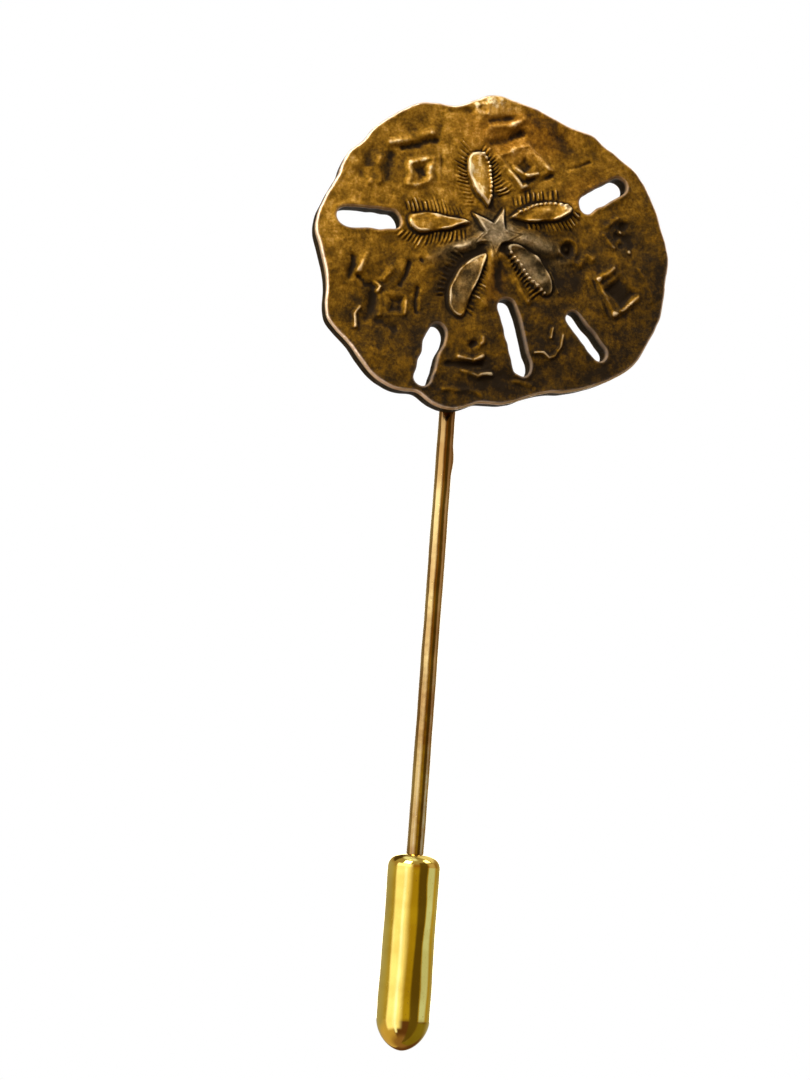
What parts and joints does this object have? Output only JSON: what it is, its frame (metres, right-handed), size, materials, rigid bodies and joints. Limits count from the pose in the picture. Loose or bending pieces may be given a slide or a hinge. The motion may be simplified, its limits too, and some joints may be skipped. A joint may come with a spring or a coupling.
{
  "type": "hat pin",
  "caption": "Straight pin with an openwork cast sand dollar head and a bullet-shaped push-on clutch over its point, for fastening a hat or lapel.",
  "frame": {"origin": "on the flat back of the head, on the wire's line, level with the middle of the star", "axes": "+Z along the wire from its point towards the head, +Y out of the back of the head, so the head faces -Y"},
  "size_m": [0.0259, 0.0044, 0.0655],
  "materials": {
    "antique_brass": "cast and antiqued, dark in the recesses and rubbed bright on the edges",
    "plain_brass": "plain stamped brass",
    "solder": "dull tin solder",
    "wire_brass": "drawn and polished",
    "clutch_brass": "drawn and polished",
    "nylon": "natural nylon"
  },
  "bodies": {
    "pin": {"sand_dollar_head": "antique_brass", "mounting_pad": "plain_brass", "pad_solder": "solder", "wire_solder": "solder", "pin_wire": "wire_brass"},
    "grip": {"grip_bushing": "nylon"},
    "clutch": {"clutch_shell": "clutch_brass", "mouth_washer": "plain_brass"}
  },
  "joints": [
    {"name": "clutch_slide", "type": "slide", "parent": "pin", "child": "grip", "axis": [0, 0, -1], "range_m": [0, 0.014]},
    {"name": "clutch_spin", "type": "hinge", "parent": "grip", "child": "clutch", "pos_m": [0, 0.001, -0.043], "axis": [0, 0, 1], "continuous": true}
  ]
}
